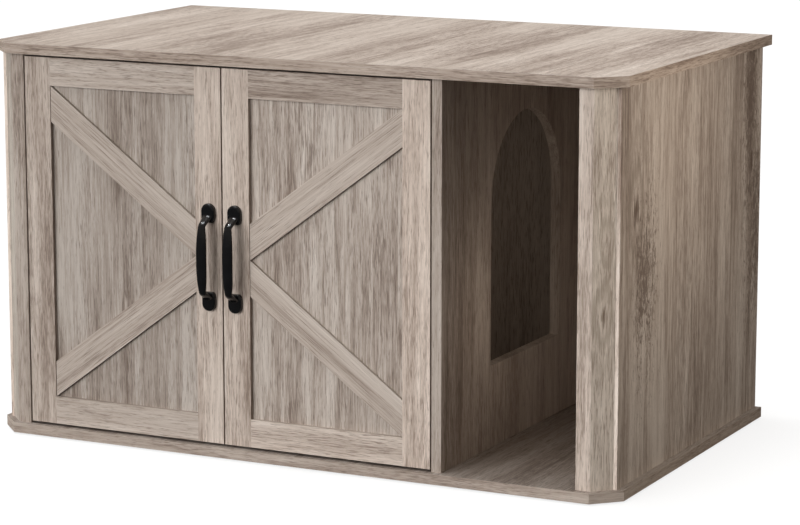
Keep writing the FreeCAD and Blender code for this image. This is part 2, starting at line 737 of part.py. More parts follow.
def hinge_arm(z):
    """The cranked arm: out of the cup, round behind the door's swinging corner, and back along the plate."""
    behind = SWING_RADIUS + ARM_CLEARANCE + ARM_THICK / 2
    seat = -PIN_FROM_EDGE - DOOR_SIDE_GAP + PLATE_THICK + ARM_THICK / 2
    exit_angle = math.radians(ARM_EXIT_ANGLE)
    eye_radius = PIN_RADIUS + PIN_PLAY + EYE_WALL
    step_across = seat / 2
    turns = (
        (eye_radius / 2 * math.cos(exit_angle), eye_radius / 2 * math.sin(exit_angle)),
        (behind / math.tan(exit_angle), behind),
        (step_across, behind),
        (seat, behind + step_across - seat),
        (seat, ARM_REACH),
    )
    points = [Vector(X_PIN + u, Y_PIN + v, z) for u, v in turns]
    along = (points[1] - points[0]).normalize()
    sideways = Vector(-along.y, along.x, 0) * (ARM_THICK / 2)
    upward = Vector(0, 0, ARM_HEIGHT / 2)
    corners = [
        points[0] + sideways + upward,
        points[0] - sideways + upward,
        points[0] - sideways - upward,
        points[0] + sideways - upward,
    ]
    profile = Part.makePolygon(corners + corners[:1])
    strap = rounded_path(points, ARM_BEND).makePipeShell([profile], True, False)
    low = Vector(X_PIN, Y_PIN, z - ARM_HEIGHT / 2)
    high = Vector(X_PIN, Y_PIN, z + ARM_HEIGHT / 2)
    eye = faceted_rod(eye_radius, low, high, EYE_SIDES)
    return cut(strap.fuse(eye), [rod(PIN_RADIUS + PIN_PLAY, low, high), arm_screw(z)])


def arm_screw(z):
    """The machine screw that clamps the arm on its plate."""
    seat = Vector(-X_OPENING + PLATE_THICK + ARM_THICK, Y_FACE + ARM_SCREW_FROM_FRONT, z)
    length = ARM_THICK + ARM_SCREW_BITE
    inward = Vector(-1, 0, 0)
    return pan_screw(seat, inward, WOOD_SCREW_HEAD, WOOD_SCREW_HEAD_HEIGHT, WOOD_SCREW_RADIUS, length)


def plate_screw_points(z):
    """Where the screws of one mounting plate meet its wings."""
    x = -X_OPENING + PLATE_WING
    y = Y_FACE + PLATE_FROM_FRONT
    return (Vector(x, y, z - PLATE_SCREW_SPACING / 2), Vector(x, y, z + PLATE_SCREW_SPACING / 2))


def hinge_plate(z):
    """The mounting plate: a raised bar that seats the arm, with a thin wing each way for its screws."""
    face = -X_OPENING
    front = Y_FACE + PLATE_FROM_FRONT - PLATE_WING_WIDTH / 2
    half = ARM_HEIGHT / 2
    span = (PLATE_SCREW_SPACING + PLATE_WING_WIDTH) / 2
    bar = block(face, face + PLATE_THICK, front, front + PLATE_LENGTH, z - half, z + half)
    wings = block(face, face + PLATE_WING, front, front + PLATE_WING_WIDTH, z - span, z + span)
    return bored(bar.fuse(wings), hinge_plate_screws() + [arm_screw(z)])


def hinge_plate_screws():
    """The wood screws of the mounting plates of the left door."""
    screws = []
    for z in HINGE_HEIGHTS:
        screws += [wood_screw(point, Vector(-1, 0, 0), PLATE_WING) for point in plate_screw_points(z)]
    return screws


def catch_front():
    """The plane of the magnets, just behind the strike plates."""
    return Y_DOOR_BACK + STRIKE_THICK + CATCH_AIR


def magnet_boxes(play):
    """The two magnets, or with play their pockets in the catch."""
    front = catch_front()
    centre = Z_CEILING - CATCH_HEIGHT + CATCH_EAR_THICK + MAGNET_HEIGHT / 2
    low = centre - MAGNET_HEIGHT / 2 - play
    high = centre + MAGNET_HEIGHT / 2 + play
    half = MAGNET_WIDTH / 2 + play
    boxes = []
    for x in (X_MEETING - MAGNET_SPACING / 2, X_MEETING + MAGNET_SPACING / 2):
        boxes.append(block(x - half, x + half, front, front + MAGNET_DEPTH + play, low, high))
    return boxes


def catch_screw_points():
    """Where the catch's screws meet its ears, under the top."""
    offset = CATCH_WIDTH / 2 + CATCH_EAR / 2
    y = catch_front() + CATCH_DEPTH / 2
    z = Z_CEILING - CATCH_EAR_THICK
    return (Vector(X_MEETING - offset, y, z), Vector(X_MEETING + offset, y, z))


def catch_housing():
    """The body of the double magnetic catch, with an ear at each end and a pocket for each magnet."""
    front = catch_front()
    rear = front + CATCH_DEPTH
    half = CATCH_WIDTH / 2
    body = block(X_MEETING - half, X_MEETING + half, front, rear, Z_CEILING - CATCH_HEIGHT, Z_CEILING)
    span = half + CATCH_EAR
    ears = block(X_MEETING - span, X_MEETING + span, front, rear, Z_CEILING - CATCH_EAR_THICK, Z_CEILING)
    return cut(body.fuse(ears), magnet_boxes(MAGNET_PLAY) + catch_screws())


def catch_screws():
    """The wood screws that hold the catch under the top."""
    return [wood_screw(point, Vector(0, 0, 1), CATCH_EAR_THICK) for point in catch_screw_points()]


def strike_point():
    """Where the strike plate's screw meets it on the left door."""
    x = X_MEETING - MAGNET_SPACING / 2
    return Vector(x, Y_DOOR_BACK + STRIKE_THICK, Z_DOOR_TOP - STRIKE_HEIGHT / 2)


def strike_plate():
    """The small steel plate on the back of the left door that the magnet pulls."""
    point = strike_point()
    half = STRIKE_WIDTH / 2
    bottom = Z_DOOR_TOP - STRIKE_HEIGHT
    plate = block(point.x - half, point.x + half, Y_DOOR_BACK, point.y, bottom, Z_DOOR_TOP)
    return cut(plate, [strike_screw()])


def strike_screw():
    """The flat-headed screw of the strike plate, sunk flush so that the magnet can meet the plate."""
    seat = strike_point()
    length = STRIKE_THICK + WOOD_SCREW_BITE
    return faceted_rod(WOOD_SCREW_RADIUS, seat, seat - Vector(0, length, 0), SCREW_SIDES)


def save_pair(name, shapes):
    """Writes a piece of the left door and its mirror image on the right door."""
    pieces = shapes if isinstance(shapes, list) else [shapes]
    save("left_" + name, shapes)
    mirrored = [across(piece) for piece in pieces]
    save("right_" + name, mirrored if isinstance(shapes, list) else mirrored[0])


def main():
    """Builds every sub-part and writes it."""
    os.makedirs("parts", exist_ok=True)
    save("top_panel", top_panel())
    save("base_panel", base_panel())
    save("side_panel_left", side_panel(-1))
    save("side_panel_right", side_panel(1))
    save("corner_panel_left", corner_panel(-1))
    save("corner_panel_right", corner_panel(1))
    save("hinge_batten", hinge_batten())
    save("divider_panel", divider_panel())
    save("back_panel", back_panel())
    save("back_nails", back_nails())
    save("cam_discs", [cam_disc(place) for place in cam_places()])
    save("cam_bolts", [cam_bolt(place) for place in cam_places()])
    save("wood_dowels", wood_dowels())
    save("base_screws", [base_screw(place) for place in cam_places()])
    save("floor_pads", floor_pads())
    save("catch_housing", catch_housing())
    save("catch_magnets", magnet_boxes(0))
    save("catch_screws", catch_screws())
    save_pair("door_panel", door_panel())
    save_pair("door_hinge_stile", door_hinge_stile())
    save_pair("door_meeting_stile", door_meeting_stile())
    save_pair("door_top_rail", strip(X_FIELD, X_FIELD_END, Z_FIELD_TOP, Z_DOOR_TOP))
    save_pair("door_bottom_rail", strip(X_FIELD, X_FIELD_END, Z_DOOR, Z_FIELD))
    save_pair("door_upper_brace", door_brace(1))
    save_pair("door_lower_brace", door_brace(-1))
    save_pair("door_handle", door_handle())
    save_pair("handle_screws", handle_screws())
    save_pair("hinge_cups", [hinge_cup(z) for z in HINGE_HEIGHTS])
    save_pair("cup_screws", cup_screws())
    save_pair("hinge_arms", [hinge_arm(z) for z in HINGE_HEIGHTS])
    save_pair("hinge_plates", [hinge_plate(z) for z in HINGE_HEIGHTS])
    save_pair("hinge_plate_screws", hinge_plate_screws())
    save_pair("hinge_arm_screws", [arm_screw(z) for z in HINGE_HEIGHTS])
    save_pair("strike_plate", strike_plate())
    save_pair("strike_screw", strike_screw())


main()
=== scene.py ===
"""Looks for the cat litter box cabinet: laminate boards, black handles, plated hinges, light, camera."""

import bpy
import bmesh
import math

from mathutils import Matrix, Vector


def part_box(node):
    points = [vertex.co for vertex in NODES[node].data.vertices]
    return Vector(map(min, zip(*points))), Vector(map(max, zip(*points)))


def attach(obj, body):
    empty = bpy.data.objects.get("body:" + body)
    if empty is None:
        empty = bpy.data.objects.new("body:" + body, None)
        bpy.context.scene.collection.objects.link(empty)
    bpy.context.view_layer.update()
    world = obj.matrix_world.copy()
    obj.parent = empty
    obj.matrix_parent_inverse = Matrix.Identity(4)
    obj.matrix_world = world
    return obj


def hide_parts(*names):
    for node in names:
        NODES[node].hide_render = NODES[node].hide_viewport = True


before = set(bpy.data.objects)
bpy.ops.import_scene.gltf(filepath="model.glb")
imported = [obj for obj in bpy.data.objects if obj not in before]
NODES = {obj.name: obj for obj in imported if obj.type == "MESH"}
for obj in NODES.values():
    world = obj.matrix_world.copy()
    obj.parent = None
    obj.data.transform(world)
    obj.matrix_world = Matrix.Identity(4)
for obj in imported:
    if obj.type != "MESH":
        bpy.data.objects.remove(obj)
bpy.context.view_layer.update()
MM = 0.001

# Camera: where it stands, how it turns, and its lens
CAMERA_AT = (1.9855, -3.9355, 1.0713)
CAMERA_YAW = math.radians(26.378)
CAMERA_TILT = math.radians(79.435)
CAMERA_REACH = 200.0
SENSOR_WIDTH = 36.0
LENS = 135.14

# Handle sizes, in millimetres
HANDLE_LENGTH = 156.0
HANDLE_PROJECTION = 28.0
FOOT_WIDTH = 21.5
FOOT_HEIGHT = 28.0
FOOT_STRAIGHT = 8.0
FOOT_THICK = 6.5
FOOT_ROUND = 3.2
GRIP_LENGTH = 92.0
GRIP_BOW = 2.2
GRIP_WIDTH = 16.7
GRIP_THICK = 8.0
NECK_WIDTH = 11.5
NECK_THICK = 7.0
NECK_RUN = 16.0
NECK_FOOT_WIDTH = 18.0
NECK_LIFT = 0.2

# How finely a handle is drawn: points round it, rings along it, and the step that gives its lean
OVAL_POINTS = 40
GRIP_STEPS = 90
FOOT_POINTS = 32
CORNER_POINTS = 10
ROUND_STEPS = 7
LEAN_STEP = 0.5
CRISP_ANGLE = math.radians(50)

# Eased edges of boards and of metal fittings
BOARD_EDGE = 0.7 * MM
METAL_EDGE = 0.25 * MM
EDGE_STEPS = 2
EDGE_ANGLE = math.radians(40)

# A brace's width measured upright, which its box has on top of its rise
BRACE_UPRIGHT_WIDTH = 53.0 * MM


class Shader:
    """A node material under construction."""

    def __init__(self, name):
        self.material = bpy.data.materials.new(name)
        self.material.use_nodes = True
        self.tree = self.material.node_tree
        self.surface = self.tree.nodes["Principled BSDF"]

    def add(self, kind, **values):
        """A new node with named properties set."""
        node = self.tree.nodes.new(kind)
        for name, value in values.items():
            setattr(node, name, value)
        return node

    def link(self, output, target):
        """Joins an output to an input."""
        self.tree.links.new(output, target)

    def feed(self, output, name):
        """Joins an output to an input of the surface."""
        self.link(output, self.surface.inputs[name])

    def value(self, name, amount):
        """Sets one input of the surface."""
        self.surface.inputs[name].default_value = amount

    def coordinates(self, scale, turn=(0, 0, 0), shift=0.0):
        """Object coordinates, turned, scaled and then shifted."""
        source = self.add("ShaderNodeTexCoord")
        turned = self.add("ShaderNodeMapping")
        turned.inputs["Rotation"].default_value = turn
        scaled = self.add("ShaderNodeMapping")
        scaled.inputs["Scale"].default_value = scale
        scaled.inputs["Location"].default_value = (shift, shift, shift)
        self.link(source.outputs["Object"], turned.inputs["Vector"])
        self.link(turned.outputs["Vector"], scaled.inputs["Vector"])
        return scaled.outputs["Vector"]

    def distance(self, scale, place):
        """How far a point is from a place on the board, in scaled metres."""
        node = self.add("ShaderNodeVectorMath", operation="DISTANCE")
        self.link(self.coordinates(scale), node.inputs[0])
        node.inputs[1].default_value = tuple(part * factor for part, factor in zip(place, scale))
        return node.outputs["Value"]

    def facing(self, axis):
        """How far the surface faces along an axis, from -1 to 1."""
        source = self.add("ShaderNodeTexCoord")
        parts = self.add("ShaderNodeSeparateXYZ")
        self.link(source.outputs["Normal"], parts.inputs["Vector"])
        return parts.outputs[axis]

    def edge_on(self, axis):
        """One where the surface faces away from both ends of an axis, else nothing."""
        return self.calculate("LESS_THAN", self.calculate("ABSOLUTE", self.facing(axis)), 0.5)

    def noise(self, vector, scale, detail, roughness, distortion=0.0):
        """A cloudy pattern from 0 to 1."""
        node = self.add("ShaderNodeTexNoise")
        node.inputs["Scale"].default_value = scale
        node.inputs["Detail"].default_value = detail
        node.inputs["Roughness"].default_value = roughness
        node.inputs["Distortion"].default_value = distortion
        self.link(vector, node.inputs["Vector"])
        return node.outputs["Fac"]

    def ramp(self, factor, stops):
        """A colour ramp with (place, colour) stops."""
        node = self.add("ShaderNodeValToRGB")
        elements = node.color_ramp.elements
        while len(elements) < len(stops):
            elements.new(0.5)
        for element, (place, colour) in zip(elements, stops):
            element.position = place
            element.color = (*colour, 1.0)
        self.link(factor, node.inputs["Fac"])
        return node.outputs["Color"]

    def fade(self, factor, stops):
        """A strength that runs between (place, strength) stops."""
        return self.ramp(factor, [(place, (level, level, level)) for place, level in stops])

    def mix(self, factor, first, second, blend="MIX"):
        """One colour mixed over another."""
        node = self.add("ShaderNodeMix", data_type="RGBA", blend_type=blend)
        if isinstance(factor, float):
            node.inputs[0].default_value = factor
        else:
            self.link(factor, node.inputs[0])
        for socket, colour in ((node.inputs[6], first), (node.inputs[7], second)):
            if isinstance(colour, tuple):
                socket.default_value = (*colour, 1.0)
            else:
                self.link(colour, socket)
        return node.outputs[2]

    def tinted(self, colour, tone):
        """The colour times a tone."""
        return self.mix(1.0, colour, tone, "MULTIPLY")

    def tinted_where(self, where, colour, tone):
        """The colour times a tone in one place, and as it is elsewhere."""
        return self.mix(where, colour, self.tinted(colour, tone))

    def calculate(self, operation, *amounts):
        """The result of a sum on outputs or plain numbers."""
        node = self.add("ShaderNodeMath", operation=operation)
        for socket, amount in zip(node.inputs, amounts):
            if isinstance(amount, (int, float)):
                socket.default_value = amount
            else:
                self.link(amount, socket)
        return node.outputs[0]

    def gloss(self, factor, low, high):
        """Lets the surface's roughness follow a factor from low to high."""
        node = self.add("ShaderNodeMapRange")
        node.inputs["To Min"].default_value = low
        node.inputs["To Max"].default_value = high
        self.link(factor, node.inputs["Value"])
        self.feed(node.outputs["Result"], "Roughness")

    def bump(self, height, strength, distance):
        """Lets a height dent the surface."""
        node = self.add("ShaderNodeBump")
        node.inputs["Strength"].default_value = strength
        node.inputs["Distance"].default_value = distance
        self.link(height, node.inputs["Height"])
        self.feed(node.outputs["Normal"], "Normal")


def srgb(red, green, blue):
    """A colour given as it looks on a screen, from 0 to 255."""
    channels = []
    for channel in (red, green, blue):
        level = channel / 255
        channels.append(level / 12.92 if level <= 0.04045 else ((level + 0.055) / 1.055) ** 2.4)
    return tuple(channels)


# The laminate's tones, from its dark grain lines to its pale ones
GRAIN_DARK = srgb(132, 116, 105)
GRAIN_MIDDLE = srgb(181, 167, 156)
GRAIN_PALE = srgb(213, 202, 192)
GRAIN_GREY = srgb(166, 155, 143)
PORE = srgb(104, 88, 77)
KNOT = srgb(96, 78, 66)
KNOT_GREY = srgb(136, 123, 111)

# How bright each board is beside the others
BOARD_TONES = {
    "top_panel": 1.03,
    "base_panel": 0.62,
    "side_panel_left": 1.0,
    "side_panel_right": 0.97,
    "corner_panel_left": 0.95,
    "corner_panel_right": 1.34,
    "hinge_batten": 1.0,
    "divider_panel": 0.94,
    "back_panel": 0.8,
    "left_door_panel": 0.81,
    "left_door_hinge_stile": 1.11,
    "left_door_meeting_stile": 1.29,
    "left_door_top_rail": 1.04,
    "left_door_bottom_rail": 1.03,
    "left_door_upper_brace": 0.98,
    "left_door_lower_brace": 1.0,
    "right_door_panel": 0.96,
    "right_door_hinge_stile": 1.46,
    "right_door_meeting_stile": 1.29,
    "right_door_top_rail": 1.08,
    "right_door_bottom_rail": 1.24,
    "right_door_upper_brace": 1.04,
    "right_door_lower_brace": 1.04,
}

# Tones of faces that differ from the rest of their board: the level boards' edges, and painted light: a
# painted highlight on the side panels' front edges, painted light on the corner boards' slanted faces,
# and painted shade on the door parts' edges, in the gaps and beside the strips
LEVEL_EDGE_TONES = {"top_panel": srgb(244, 240, 237), "base_panel": (1.55, 1.52, 1.5)}
# Painted highlight: the side panels' front edges are made paler, as if lit from the front
SIDE_EDGE_PAINTED_HIGHLIGHT = (1.6, 1.6, 1.6)
# Painted light: the corner boards' slanted faces are made brighter and a little greyer than their board,
# standing in for light the lamps give them too little of
CORNER_FACE_PAINTED_LIGHT = (1.04, 1.08, 1.08)
# Painted shade: the door parts' edge faces are made darker, so the gaps round the doors and the sides of
# the raised strips look shaded
DOOR_EDGE_PAINTED_SHADE = (0.72, 0.71, 0.7)

# Layers of the grain: scale along it and across it, detail, roughness and distortion
GRAIN_LAYERS = {
    "patches": (2.4, 9.0, 3.0, 0.55, 0.5),
    "bands": (0.9, 21.0, 4.0, 0.6, 0.2),
    "streaks": (7.0, 85.0, 6.0, 0.7, 0.7),
    "lines": (22.0, 420.0, 4.0, 0.8, 0.2),
    "dashes": (70.0, 880.0, 2.0, 0.7, 0.0),
}

# How much each layer counts towards the tone, the pores and the height of the surface
TONE_SHARES = {"patches": 0.19, "bands": 0.25, "streaks": 0.26, "lines": 0.3}
PORE_SHARES = {"dashes": 0.6, "patches": 0.25, "streaks": 0.15}
HEIGHT_SHARES = {"streaks": 0.3, "lines": 0.35, "dashes": 0.35}

# Where grey patches and pores set in and end, as (amount, strength) stops
GREY_FADE = ((0.40, 0.0), (0.62, 0.12))
PORE_FADE = ((0.41, 0.65), (0.49, 0.0))

# How far the grain's pattern moves on from one board to the next
SHIFT_STEP = 7.31

# How far the grain's tones spread, and the boards that differ: a small value gives strong contrast
GRAIN_SPREAD = 0.12
BOARD_SPREADS = {
    "side_panel_right": 0.08,
    "corner_panel_right": 0.16,
    "left_door_panel": 0.075,
    "right_door_panel": 0.075,
    "back_panel": 0.25,
}

# Scale along the grain: a small value draws it out into long lines
GRAIN_DRAW = 0.65
BRACE_DRAW = 0.3

# Knots: how they are drawn out, where they are on a board in metres, and how large they are.
# One that lies beneath its face shows only its rings.
KNOT_ALONG = 13.0
KNOT_ACROSS = 34.0
KNOTS = {
    "side_panel_right": (((0.49, -0.2007, 0.3956), 2.0), ((0.49, 0.26, 0.40), 1.2)),
    "corner_panel_right": (((0.471, -0.2621, 0.3637), 1.0), ((0.4673, -0.2658, 0.26), 1.3)),
}

# A knot's rings: how far the streaks bend them, how close they lie, how strong they are and how they
# fade with half their distance. Its heart fades with its whole distance.
RING_BEND = 0.7
RING_RATE = 19.0
RING_SWING = 0.5
RING_LEVEL = 0.4
RING_FADE = ((0.2, 1.0), (0.75, 0.0))
HEART_FADE = ((0.44, 0.9), (0.53, 0.0))

# Rough dark patches on the passage end: where they are in metres, their scale across and up, and the
# patterns that break up their outline and their flecks (scale, detail, roughness, distortion)
ROUGH_PLACES = ((0.49, -0.165, 0.29), (0.49, 0.25, 0.5), (0.49, 0.27, 0.3))
ROUGH_SCALE = (1.0, 13.0, 3.8)
ROUGH_OUTLINE = ((0, 26.0, 7.0), 3.0, 0.6, 0.0)
ROUGH_FLECKS = ((0, 210.0, 70.0), 5.0, 0.8, 0.6)
ROUGH_SHARE = 0.5
FLECK_FADE = ((0.63, 0.0), (0.74, 0.85))

# How the laminate catches light: roughness range, specular level, bump strength and distance
LAMINATE_GLOSS = (0.5, 0.66)
LAMINATE_SPECULAR = 0.25
LAMINATE_BUMP = (0.5, 0.0018)

# Tone stops of metal and of speckled materials, and how far the gloss of metal changes
BLOTCH_STOPS = (0.35, 0.65)
BLOTCH_SCALE = 60.0
GLOSS_CHANGE = 0.03


def stretched(axis, along, across):
    """Scales that draw a pattern out along one axis."""
    return tuple(along if name == axis else across for name in "xyz")


def edge_scale(along, across):
    """Scales for a level edge: drawn out along it whichever way it faces."""
    return (along, along, across)


def layered(shader, layers, shares):
    """The sum of named layers, each times its share."""
    total = 0.0
    for name, share in shares.items():
        part = shader.calculate("MULTIPLY", layers[name], share)
        total = shader.calculate("ADD", part, total)
    return total


def knotted(shader, colour, scale, streaks, knots):
    """The colour with the rings and dark hearts of knots laid over it."""
    rings = None
    for place, size in knots:
        away = shader.distance(scale(KNOT_ALONG / size, KNOT_ACROSS / size), place)
        apart = shader.calculate("ADD", away, shader.calculate("MULTIPLY", streaks, RING_BEND))
        rings = apart if rings is None else shader.calculate("MINIMUM", rings, apart)
    wave = shader.calculate("SINE", shader.calculate("MULTIPLY", rings, RING_RATE))
    near = shader.fade(shader.calculate("MULTIPLY", rings, 0.5), RING_FADE)
    level = shader.calculate("MULTIPLY_ADD", wave, RING_SWING, RING_LEVEL)
    colour = shader.mix(shader.calculate("MULTIPLY", near, level), colour, KNOT_GREY)
    return shader.mix(shader.fade(rings, HEART_FADE), colour, KNOT)


def grain(shader, scale, turn, shift, knots=(), spread=GRAIN_SPREAD, draw=GRAIN_DRAW):
    """The laminate's colour and height, with its grain drawn out as scale(along, across) says."""
    layers = {}
    for name, (along, across, detail, roughness, distortion) in GRAIN_LAYERS.items():
        place = shader.coordinates(scale(along * draw, across), turn, shift)
        layers[name] = shader.noise(place, 1.0, detail, roughness, distortion)
    stops = ((0.5 - spread, GRAIN_DARK), (0.5, GRAIN_MIDDLE), (0.5 + spread, GRAIN_PALE))
    colour = shader.ramp(layered(shader, layers, TONE_SHARES), stops)
    colour = shader.mix(shader.fade(layers["patches"], GREY_FADE), colour, GRAIN_GREY)
    pores = shader.fade(layered(shader, layers, PORE_SHARES), PORE_FADE)
    colour = shader.mix(pores, colour, PORE)
    if knots:
        colour = knotted(shader, colour, scale, layers["streaks"], knots)
    return colour, layered(shader, layers, HEIGHT_SHARES)


def rough_patches(shader, colour):
    """The colour with rough dark flecks laid over it in a few patches."""
    near = 0.0
    for place in ROUGH_PLACES:
        reach = shader.calculate("SUBTRACT", 1.0, shader.distance(ROUGH_SCALE, place))
        near = shader.calculate("MAXIMUM", reach, near)
    outline, flecks = (
        shader.noise(shader.coordinates(scale), 1.0, *pattern)
        for scale, *pattern in (ROUGH_OUTLINE, ROUGH_FLECKS)
    )
    near = shader.calculate("MULTIPLY", near, outline)
    depth = shader.calculate("MULTIPLY_ADD", near, ROUGH_SHARE, flecks)
    return shader.mix(shader.fade(depth, FLECK_FADE), colour, PORE)


def face_toned(shader, board, colour, turn, shift):
    """The colour with the tone of the level boards' edges, a painted highlight on the side panels' front
    edges, painted light on the corner boards' slanted faces and painted shade on the door parts' edges.
    """
    if board in LEVEL_EDGE_TONES:
        edges, _ = grain(shader, edge_scale, turn, shift)
        return shader.mix(shader.edge_on("Z"), colour, shader.tinted(edges, LEVEL_EDGE_TONES[board]))
    if "side_panel" in board:
        # Painted highlight on the side panel's front-facing edge
        painted_highlight_area = shader.calculate("LESS_THAN", shader.facing("Y"), -0.5)
        return shader.tinted_where(painted_highlight_area, colour, SIDE_EDGE_PAINTED_HIGHLIGHT)
    if "_door_" in board:
        # Painted shade on the door parts' edge faces, in the gaps and beside the strips
        return shader.tinted_where(shader.edge_on("Y"), colour, DOOR_EDGE_PAINTED_SHADE)
    if "corner_panel" in board:
        # Painted light on the corner board's slanted face
        painted_light_area = shader.calculate("COMPARE", shader.facing("Y"), -math.sqrt(0.5), 0.1)
        return shader.tinted_where(painted_light_area, colour, CORNER_FACE_PAINTED_LIGHT)
    return colour


def laminate(board, axis, turn=(0, 0, 0)):
    """Wood-grain laminate for one board, its grain along an axis."""
    def scale(along, across):
        return stretched(axis, along, across)

    shader = Shader("laminate " + board)
    shift = SHIFT_STEP * sorted(BOARD_TONES).index(board)
    spread = BOARD_SPREADS.get(board, GRAIN_SPREAD)
    draw = BRACE_DRAW if "brace" in board else GRAIN_DRAW
    colour, height = grain(shader, scale, turn, shift, KNOTS.get(board, ()), spread, draw)
    if board == "side_panel_right":
        colour = rough_patches(shader, colour)
    colour = face_toned(shader, board, colour, turn, shift)
    level = BOARD_TONES[board]
    shader.feed(shader.tinted(colour, (level, level, level)), "Base Color")
    shader.gloss(height, *LAMINATE_GLOSS)
    shader.value("Specular IOR Level", LAMINATE_SPECULAR)
    shader.bump(height, *LAMINATE_BUMP)
    return shader.material


def two_toned(shader, pattern, dark, pale):
    """Colours the surface between a dark and a pale tone."""
    shader.feed(shader.ramp(pattern, tuple(zip(BLOTCH_STOPS, (dark, pale)))), "Base Color")


def metal(name, pale, dark, roughness, metallic):
    """Metal or paint with a faint change of tone and of gloss over its surface."""
    shader = Shader(name)
    cloud = shader.noise(shader.coordinates((1, 1, 1)), BLOTCH_SCALE, 4.0, 0.6)
    two_toned(shader, cloud, dark, pale)
    shader.gloss(cloud, roughness - GLOSS_CHANGE, roughness + GLOSS_CHANGE)
    shader.value("Metallic", metallic)
    return shader.material


def brushed(name, axis):
    """Nickel-plated steel with faint lines."""
    shader = Shader(name)
    lines = shader.noise(shader.coordinates(stretched(axis, 40.0, 1500.0)), 1.0, 3.0, 0.6)
    two_toned(shader, lines, srgb(168, 168, 166), srgb(205, 205, 203))
    shader.value("Metallic", 1.0)
    shader.value("Roughness", 0.34)
    shader.bump(lines, 0.08, 0.0001)
    return shader.material


def speckled(name, pale, dark, roughness, scale):
    """Beech or plastic with a fine speckle."""
    shader = Shader(name)
    speckle = shader.noise(shader.coordinates((1, 1, 1)), scale, 5.0, 0.7)
    two_toned(shader, speckle, dark, pale)
    shader.value("Roughness", roughness)
    shader.bump(speckle, 0.1, 0.0002)
    return shader.material


def dress(node, material):
    """Puts one material on a CAD node."""
    piece = NODES[node]
    piece.data.materials.clear()
    piece.data.materials.append(material)


def soften(node, width):
    """Eases a CAD node's sharp edges."""
    bevel = NODES[node].modifiers.new("eased edges", "BEVEL")
    bevel.width = width
    bevel.segments = EDGE_STEPS
    bevel.limit_method = "ANGLE"
    bevel.angle_limit = EDGE_ANGLE
    bevel.use_clamp_overlap = True


def brace_turn(node):
    """The turn that lays the pattern's X axis along a brace."""
    low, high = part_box(node)
    slope = math.atan2(high[2] - low[2] - BRACE_UPRIGHT_WIDTH, high[0] - low[0])
    rising = ("left" in node) == ("lower" in node)
    return (0, slope if rising else -slope, 0)


def board_laminate(node):
    """The laminate of one board, its grain the way the board runs."""
    if node in ("top_panel", "base_panel"):
        return laminate(node, "y")
    if "rail" in node:
        return laminate(node, "x")
    if "brace" in node:
        return laminate(node, "x", turn=brace_turn(node))
    return laminate(node, "z")


def dress_boards():
    """Materials and eased edges for every board."""
    for node in BOARD_TONES:
        dress(node, board_laminate(node))
        if node != "back_panel":
            soften(node, BOARD_EDGE)


def dress_fittings():
    """Materials for the fasteners, hinges, catch, pads and handles. Gives back the handles' black."""
    steel = brushed("plated steel", "z")
    zinc = metal("cast zinc", srgb(175, 176, 178), srgb(140, 141, 143), 0.5, 1.0)
    plastic = speckled("dark plastic", srgb(58, 56, 54), srgb(40, 39, 38), 0.55, 900.0)
    beech = speckled("beech", srgb(222, 190, 150), srgb(196, 160, 118), 0.7, 300.0)
    black = metal("black paint", srgb(17, 17, 18), srgb(11, 11, 12), 0.16, 0.0)
    for node in NODES:
        if node in ("floor_pads", "catch_housing"):
            dress(node, plastic)
        elif node == "wood_dowels":
            dress(node, beech)
        elif node == "cam_discs":
            dress(node, zinc)
        elif node.endswith("handle"):
            dress(node, black)
        elif node not in BOARD_TONES:
            dress(node, steel)
            soften(node, METAL_EDGE)
    return black


def grip_bow(place):
    """How far the grip's centreline stands out from the door at a height from its middle."""
    crest = HANDLE_PROJECTION - GRIP_THICK / 2
    root = NECK_THICK / 2 + NECK_LIFT
    half_grip = GRIP_LENGTH / 2
    bowed = crest - GRIP_BOW * min(abs(place) / half_grip, 1) ** 2
    fall = min(max((abs(place) - half_grip) / NECK_RUN, 0), 1)
    return root + (bowed - root) * (1 + math.cos(math.pi * fall)) / 2


def grip_size(place):
    """The grip's width and thickness: full in the middle, slim at the neck, wide at the foot."""
    half_grip = GRIP_LENGTH / 2
    fullness = max(1 - (abs(place) / half_grip) ** 3, 0)
    flare = min(max((abs(place) - half_grip) / NECK_RUN, 0), 1) ** 2
    width = NECK_WIDTH + (GRIP_WIDTH - NECK_WIDTH) * fullness + (NECK_FOOT_WIDTH - NECK_WIDTH) * flare
    thick = NECK_THICK + (GRIP_THICK - NECK_THICK) * fullness
    return width, thick


def grip_ring(place):
    """One oval ring of the grip, square to its centreline, as points in millimetres."""
    lean = math.atan2(grip_bow(place + LEAN_STEP) - grip_bow(place - LEAN_STEP), 2 * LEAN_STEP)
    width, thick = grip_size(place)
    ring = []
    for number in range(OVAL_POINTS):
        angle = 2 * math.pi * number / OVAL_POINTS
        out = math.sin(angle) * thick / 2
        ring.append(Vector((
            math.cos(angle) * width / 2,
            -grip_bow(place) - out * math.cos(lean),
            place - out * math.sin(lean),
        )))
    return ring


def foot_ring(way, out, inset):
    """One outline of a foot at a height out from the door, as points in millimetres."""
    half = FOOT_WIDTH / 2 - inset
    waist = (NECK_WIDTH - inset) / 2
    centre = (HANDLE_LENGTH - FOOT_WIDTH) / 2
    straight = centre - FOOT_STRAIGHT
    neck = HANDLE_LENGTH / 2 - FOOT_HEIGHT + inset
    points = []
    for number in range(FOOT_POINTS + 1):
        angle = math.pi * number / FOOT_POINTS
        points.append((half * math.cos(angle), centre + half * math.sin(angle)))
    corner = []
    for number in range(CORNER_POINTS + 1):
        angle = math.pi / 2 * number / CORNER_POINTS
        x = waist + (half - waist) * math.cos(angle)
        corner.append((x, straight - (straight - neck) * math.sin(angle)))
    points += [(-x, z) for x, z in corner] + corner[::-1]
    return [Vector((x, -out, way * z)) for x, z in points]


